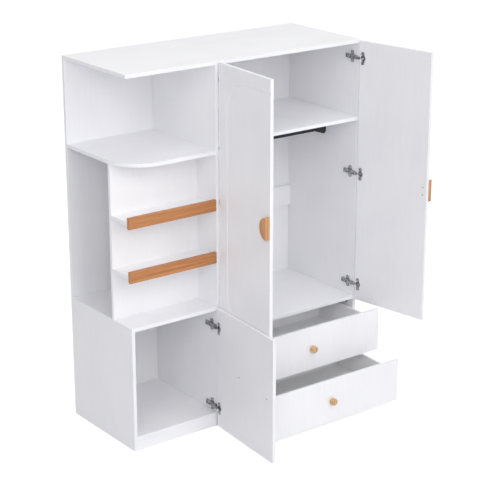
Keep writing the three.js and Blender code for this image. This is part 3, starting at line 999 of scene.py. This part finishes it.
@dataclass
class Knob:
    """Profile of the turned knob: a short neck and a drum with rounded rims."""

    radius: float = 15.0
    neck: float = 12.0
    neck_end: float = 3.0
    neck_turn: float = 0.5
    reach: float = 22.0
    easing: float = 2.5
    rim_steps: int = 6
    seat: float = 0.3

    def shape(self, place: Matrix) -> Shape:
        """Turns the knob.

        Args:
            place: Frame whose origin the knob stands on, pointing against its Y.

        Returns:
            The closed shape.
        """
        r, e = self.radius, self.easing
        profile = [(0.0, self.seat), (self.neck, self.seat), (self.neck, self.neck_end - self.neck_turn)]
        profile += arc(r - e, self.neck_end + e, e, -90, 0, self.rim_steps)
        profile += arc(r - e, self.reach - e, e, 0, 90, self.rim_steps)
        shape = turned(profile + [(0.0, self.reach)])
        shape.transform(place @ Matrix.Rotation(math.pi / 2, 4, "X"))
        return shape


class Routed(Enum):
    """Whether a door has the arched line."""

    ARCH = "arch"
    PLAIN = "plain"


@dataclass
class Door(Assembly):
    """A door panel with bores for its cups and, on the tall ones, an arched line routed in its face."""

    name: str
    routed: Routed
    leg: float = 62.0  # arched line from the hinge edge
    end: float = 58.0  # and from the top and the foot
    radius: float = 150.0
    arch_steps: int = 40
    line_w: float = 8.0
    line_deep: float = 3.5
    line_over: float = 8.0  # cutter's run past the free edge
    cutter_steps: int = 24
    bore: float = 13.3
    bore_deep: float = 12.3
    bore_steps: int = 64
    easing: float = 0.7
    grip_easing: float = 2.2
    grip_steps: int = 56
    screw_in: float = 19.0  # grip's screws from the free edge
    screw_apart: float = 32.0
    screw_head: float = 7.0
    plug_in: float = 174.0  # small plug, from the hinge edge of the plain door
    plug_height: float = 295.0
    plug_head: float = 8.5
    swing: Swing = field(init=False)
    low: Vector = field(init=False)
    high: Vector = field(init=False)
    hinges: HingeSet = field(init=False)

    def __post_init__(self) -> None:
        """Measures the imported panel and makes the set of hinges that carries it."""
        self.swing = Swing.of(self.name)
        self.low, self.high = self.swing.corners(self.name)
        self.hinges = HingeSet(self.palette, self.fasteners, self.name, self.swing, self.high.y)

    @property
    def cutter(self) -> float:
        """Radius of the round cutter that leaves a line of the stated width and depth."""
        return self.line_w**2 / (8 * self.line_deep) + self.line_deep / 2

    def line_path(self) -> Mesh:
        """The path of the cutter's middle over the outer face, in the door's own frame.

        Returns:
            A string of points from the free edge round the arch and back.
        """
        y = self.low.y - self.cutter + self.line_deep
        free = self.high.x + self.line_over
        centre = self.low.x + self.leg + self.radius
        foot, top = self.low.z + self.end + self.radius, self.high.z - self.end - self.radius
        path = [(free, top + self.radius)] + arc(centre, top, self.radius, 90, 180, self.arch_steps)
        path += arc(centre, foot, self.radius, 180, 270, self.arch_steps) + [(free, foot - self.radius)]
        mesh = bpy.data.meshes.new("line path")
        points = [(self.swing.side * x * MM, y * MM, z * MM) for x, z in path]
        mesh.from_pydata(points, [(i, i + 1) for i in range(len(points) - 1)], [])
        return mesh

    def tree(self) -> GeometryTree:
        """Panel as a block, less a row of bores and less the line swept along its path.

        Returns:
            The tree.
        """
        kinds = dict.fromkeys(("Size", "Middle", "First bore", "Bore step"), "Vector")
        kinds |= dict.fromkeys(("Cutter radius", "Bore radius", "Bore length"), "Float")
        tree = GeometryTree(f"{self.name} panel", {**kinds, "Bores": "Int", "Finish": "Material"})
        given = tree.given
        block = tree.put("GeometryNodeMeshCube", {"Size": given["Size"]})
        panel = tree.put("GeometryNodeTransform", {"Geometry": block, "Translation": given["Middle"]})
        drill = {"Vertices": self.bore_steps, "Radius": given["Bore radius"], "Depth": given["Bore length"]}
        upright = tree.put("GeometryNodeMeshCylinder", drill)
        laid = tree.put("GeometryNodeTransform", {"Geometry": upright, "Rotation": (math.pi / 2, 0.0, 0.0)})
        line = {"Count": given["Bores"], "Start Location": given["First bore"], "Offset": given["Bore step"]}
        row = tree.put("GeometryNodeMeshLine", line)
        set_out = tree.put("GeometryNodeInstanceOnPoints", {"Points": row, "Instance": laid})
        bores = tree.put("GeometryNodeRealizeInstances", {"Geometry": set_out})
        take = {"operation": "DIFFERENCE", "solver": "EXACT"}
        left = tree.put("GeometryNodeMeshBoolean", {0: panel, 1: bores}, **take)
        if self.routed is Routed.ARCH:
            path = tree.put("GeometryNodeMeshToCurve", {"Mesh": given["Geometry"]})
            section = {"Resolution": self.cutter_steps, "Radius": given["Cutter radius"]}
            cutter = tree.put("GeometryNodeCurvePrimitiveCircle", section)
            swept = {"Curve": path, "Profile Curve": cutter, "Fill Caps": True}
            sweep = tree.put("GeometryNodeCurveToMesh", swept)
            left = tree.put("GeometryNodeMeshBoolean", {0: left, 1: sweep}, **take)
        tree.close(left)
        return tree

    def build(self) -> None:
        """Makes the panel, its hinges, its handle and their screws."""
        arched = self.routed is Routed.ARCH
        side, heights = self.swing.side, self.hinges.heights
        middle = (self.low + self.high) / 2
        values = {
            "Size": tuple((self.high - self.low) * MM),
            "Middle": (side * middle.x * MM, middle.y * MM, middle.z * MM),
            "Cutter radius": self.cutter * MM,
            "Bore radius": self.bore * MM,
            "Bore length": 2 * self.bore_deep * MM,
            "First bore": (side * self.hinges.cup_set * MM, self.high.y * MM, heights[0] * MM),
            "Bore step": (0.0, 0.0, (heights[-1] - heights[0]) / (len(heights) - 1) * MM),
            "Bores": len(heights),
            "Finish": self.palette.film if arched else self.palette.foil,
        }
        mesh = self.tree().run(self.line_path(), values, self.easing)
        mesh.transform(self.swing.matrix)
        settle(mesh, f"finished_{self.name}", self.name, "white_board", None, [self.name], smooth=30)
        self.hinges.build()
        if arched:
            self.grip()
        else:
            self.knob()

    def inner_screws(self, label: str, places: Sequence[Pair]) -> None:
        """Sets screws in the inner face, by distance from the turning line and height."""
        spots = [(self.swing.at(x, self.high.y, z), self.swing.inward) for x, z in places]
        self.screws(label, self.name, self.screw_head, spots)

    def grip(self) -> None:
        """Half-moon grip with its flat side at the free edge, and its two screws on the inner face."""
        node = f"{self.name}_handle"
        low, high = self.swing.corners(node)
        middle = (low.z + high.z) / 2
        half_moon = arc(0, 0, (high.z - low.z) / 2, 90, 270, self.grip_steps)
        shape = ease(prism(half_moon, 0, high.y - low.y), self.grip_easing, 5, SHARP)
        lay = Matrix(((self.swing.side, 0, 0, 0), (0, 0, -1, 0), (0, 1, 0, 0), (0, 0, 0, 1)))
        shape.transform(self.swing.seat(high.x, high.y, middle) @ lay)
        bmesh.ops.recalc_face_normals(shape, faces=shape.faces)
        settle(shape, f"wood_{node}", self.name, "handle_wood", self.palette.grip, [node], smooth=ROUND)
        places = [(self.high.x - self.screw_in, middle + up * self.screw_apart / 2) for up in (-1, 1)]
        self.inner_screws(f"{node}_screws", places)

    def knob(self) -> None:
        """Turned knob near the free edge, with its screw and a small plug on the inner face."""
        node = f"{self.name}_knob"
        low, high = self.swing.corners(node)
        middle = (low + high) / 2
        shape = Knob().shape(self.swing.seat(middle.x, self.low.y, middle.z))
        settle(shape, f"turned_{node}", self.name, "knob_wood", self.palette.knob, [node], smooth=ROUND)
        self.inner_screws(f"{node}_screw", [(middle.x, middle.z)])
        spot = (self.swing.at(self.low.x + self.plug_in, self.high.y, self.plug_height), self.swing.inward)
        name, grey = f"{self.name}_plug", self.palette.plug
        self.fasteners.place(name, self.name, "white_board", Head.CAP, self.plug_head, grey, [spot])


# Drawers


@dataclass
class Drawer(Assembly):
    """A drawer: white front with its knob, and a papered box with fins and rollers on its sides."""

    level: str
    easing: float = 0.8
    box_easing: float = 0.4
    side_t: float = 12.0
    screw_in: float = 6.0
    screw_up: float = 30.0
    screw_head: float = 7.0

    @property
    def body(self) -> str:
        """Name of the drawer's body."""
        return f"drawer_{self.level}"

    def build(self) -> None:
        """Makes the drawer."""
        node = f"{self.body}_front"
        front = ease(cad_copy(node), self.easing)
        settle(front, f"banded_{node}", self.body, "white_board", self.palette.foil, [node])
        for part in ("back", "bottom"):
            node = f"{self.body}_{part}"
            shape = ease(cad_copy(node), self.box_easing)
            settle(shape, f"papered_{node}", self.body, "drawer_board", self.palette.paper, [node])
        for part in ("side_left", "side_right"):
            self.side(part)
        self.knob()

    def knob(self) -> None:
        """The knob in the middle of the front, and its screw behind."""
        low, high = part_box(f"{self.body}_front")
        seat = Vector(((low.x + high.x) / 2, low.y, (low.z + high.z) / 2))
        node = f"{self.body}_knob"
        shape = Knob().shape(Matrix.Translation(seat))
        settle(shape, f"turned_{node}", self.body, "knob_wood", self.palette.knob, [node], smooth=ROUND)
        behind = (Vector((seat.x, high.y, seat.z)), Vector((0, 1, 0)))
        self.screws(f"{node}_screw", self.body, self.screw_head, [behind])

    def side(self, part: str) -> None:
        """One side of the box with its fin and roller.

        Args:
            part: Name of the side.
        """
        node = f"{self.body}_{part}"
        low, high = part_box(node)
        way = -1 if part.endswith("left") else 1
        outer = low.x + self.side_t * MM if way > 0 else high.x - self.side_t * MM
        shape = ease(cad_copy(node), self.box_easing, sharper=SHARP)
        paper = self.palette.paper
        settle(shape, f"papered_{node}", self.body, "drawer_board", paper, [node], smooth=ROUND)
        middle = (low.z + high.z) / 2
        line = high.y - self.screw_in * MM
        spots = [
            (Vector((outer, line, middle + up * self.screw_up * MM)), Vector((way, 0, 0)))
            for up in (-1, 1)
        ]
        self.screws(f"{node}_screws", self.body, self.screw_head, spots)


@dataclass
class Runners(Assembly):
    """White runner channels on the carcass, with their front rollers and screws."""

    levels: tuple[str, ...] = ("lower", "upper")
    wall: float = 1.5
    easing: float = 0.3
    screws_back: Triple = (45.0, 170.0, 320.0)
    screw_head: float = 7.0
    screw_sunk: float = 1.0  # heads lie in the web, clear of the box's roller

    def build(self) -> None:
        """Makes the four runners."""
        for level in self.levels:
            for hand, way in (("left", 1), ("right", -1)):
                self.runner(f"runner_{level}_{hand}", way)

    def runner(self, node: str, way: int) -> None:
        """One runner.

        Args:
            node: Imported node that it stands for.
            way: 1 where it stands out to the right, -1 to the left.
        """
        low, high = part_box(node)
        web = (low.x if way > 0 else high.x) + way * self.wall * MM
        shape = ease(cad_copy(node), self.easing, sharper=SHARP)
        enamel = self.palette.enamel
        settle(shape, f"enamelled_{node}", "carcass", "white_enamel", enamel, [node], smooth=ROUND)
        seat = web - way * self.screw_sunk * MM
        middle, facing = (low.z + high.z) / 2, Vector((way, 0, 0))
        spots = [(Vector((seat, low.y + back * MM, middle)), facing) for back in self.screws_back]
        self.screws(f"{node}_screws", "carcass", self.screw_head, spots)


# Studio


@dataclass(frozen=True)
class Lamp:
    """A square soft lamp: where it hangs, its side in metres and its power in watts."""

    name: str
    place: Triple
    size: float
    power: float


@dataclass
class Studio:
    """Pale floor, soft light and the photograph's camera. Places are in metres."""

    sensor: float = 36.0
    lens: float = 110.9
    yaw: float = 37.0
    pitch: float = 18.8
    place: Triple = (-3.5537, -5.1767, 2.8719)
    sky: str = "#FDFDFF"
    fill: float = 0.46
    floor_size: float = 14.0
    floor_under: float = 0.0006  # below the feet
    floor_matt: str = "#E6E6E8"
    floor_paper: str = "#D8D8DA"
    floor_glow: float = 0.68
    aim: Triple = (0.1, 0.0, 0.8)
    lamps: tuple[Lamp, ...] = (
        # The main light comes from high in front and reaches into the open bays
        Lamp("front lamp", (0.3, -8.3, 5.7), 5.4, 252),
        # A weaker one from the left keeps the side panel and the open door pale
        Lamp("left lamp", (-5.7, -6.6, 5.2), 5.4, 225),
        # The one overhead lights the top, the shelves and the floor
        Lamp("top lamp", (0.6, -1.4, 7.3), 6.1, 120),
    )

    def build(self) -> None:
        """Makes the camera, the floor, the lamps and the surroundings."""
        self.camera()
        self.floor()
        self.surroundings()
        for lamp in self.lamps:
            self.hang(lamp)
        bpy.context.scene.view_settings.view_transform = "Standard"

    def camera(self) -> None:
        """The photograph's camera."""
        data = bpy.data.cameras.new("camera")
        data.sensor_width = self.sensor
        data.lens = self.lens
        camera = bpy.data.objects.new("camera", data)
        camera.location = self.place
        camera.rotation_euler = (math.radians(90 - self.pitch), 0, math.radians(-self.yaw))
        bpy.context.scene.collection.objects.link(camera)
        bpy.context.scene.camera = camera

    def floor(self) -> None:
        """A wide pale floor that the camera sees as white away from the object's shadow."""
        shape = bmesh.new()
        bmesh.ops.create_grid(shape, x_segments=1, y_segments=1, size=self.floor_size)
        mesh = written(shape, "floor")
        mesh.transform(Matrix.Translation((0, 0, -self.floor_under)))
        floor = bpy.data.objects.new("floor", mesh)
        bpy.context.scene.collection.objects.link(floor)
        made = bpy.data.materials.new("pale studio floor")
        made.use_nodes = True
        tree = made.node_tree
        tree.nodes.clear()
        matt = put(tree, "ShaderNodeBsdfDiffuse", {"Color": linear(self.floor_matt)})
        paper = put(tree, "ShaderNodeBsdfDiffuse", {"Color": linear(self.floor_paper)})
        glow = put(tree, "ShaderNodeEmission", {"Strength": self.floor_glow})
        bright = put(tree, "ShaderNodeAddShader", {0: paper, 1: glow})
        self.part_rays(tree, "ShaderNodeOutputMaterial", matt, bright)
        mesh.materials.append(made)

    def surroundings(self) -> None:
        """Even white all round, weaker as a light than as a background."""
        world = bpy.data.worlds.new("studio")
        bpy.context.scene.world = world
        world.use_nodes = True
        tree = world.node_tree
        tree.nodes.clear()
        soft = put(tree, "ShaderNodeBackground", {"Color": linear(self.sky), "Strength": self.fill})
        white = put(tree, "ShaderNodeBackground", {"Color": linear(WHITE), "Strength": 1.0})
        self.part_rays(tree, "ShaderNodeOutputWorld", soft, white)

    @staticmethod
    def part_rays(tree: Tree, output: str, lit: Node, seen: Node) -> None:
        """Ends a tree with one shader for light and one for what shows.

        Args:
            tree: The tree that gets the nodes.
            output: Name of its output node.
            lit: Shader for the rays that light the object.
            seen: Shader for rays of the camera and those that metal and glass send on.
        """
        ray = put(tree, "ShaderNodeLightPath").outputs
        either = {0: ray["Is Camera Ray"], 1: ray["Is Glossy Ray"]}
        first = put(tree, "ShaderNodeMath", either, operation="MAXIMUM")
        shown = put(tree, "ShaderNodeMath", {0: first, 1: ray["Is Transmission Ray"]}, operation="MAXIMUM")
        put(tree, output, {"Surface": put(tree, "ShaderNodeMixShader", {0: shown, 1: lit, 2: seen})})

    def hang(self, lamp: Lamp) -> None:
        """Hangs a lamp and turns it to the wardrobe.

        Args:
            lamp: The lamp.
        """
        data = bpy.data.lights.new(lamp.name, "AREA")
        data.size = lamp.size
        data.energy = lamp.power
        hung = bpy.data.objects.new(lamp.name, data)
        hung.location = lamp.place
        hung.rotation_euler = (Vector(self.aim) - Vector(lamp.place)).to_track_quat("-Z", "Y").to_euler()
        bpy.context.scene.collection.objects.link(hung)


# The wardrobe


def main() -> None:
    """Builds the wardrobe piece by piece."""
    logging.basicConfig(level=logging.INFO, format="%(name)s: %(message)s")
    Studio().build()
    palette = Palette()
    fasteners = Fasteners()
    tools = palette, fasteners
    doors = (("left_door", Routed.ARCH), ("right_door", Routed.ARCH), ("low_door", Routed.PLAIN))
    moving = [Door(*tools, name, routed) for name, routed in doors]
    moving += [Drawer(*tools, level) for level in ("lower", "upper")]
    for part in (Carcass(*tools), LedgeStrips(*tools), HangingRail(*tools), *moving, Runners(*tools)):
        part.build()
        log.info("built %s", type(part).__name__)
    fasteners.clear()


if __name__ == "__main__":
    main()
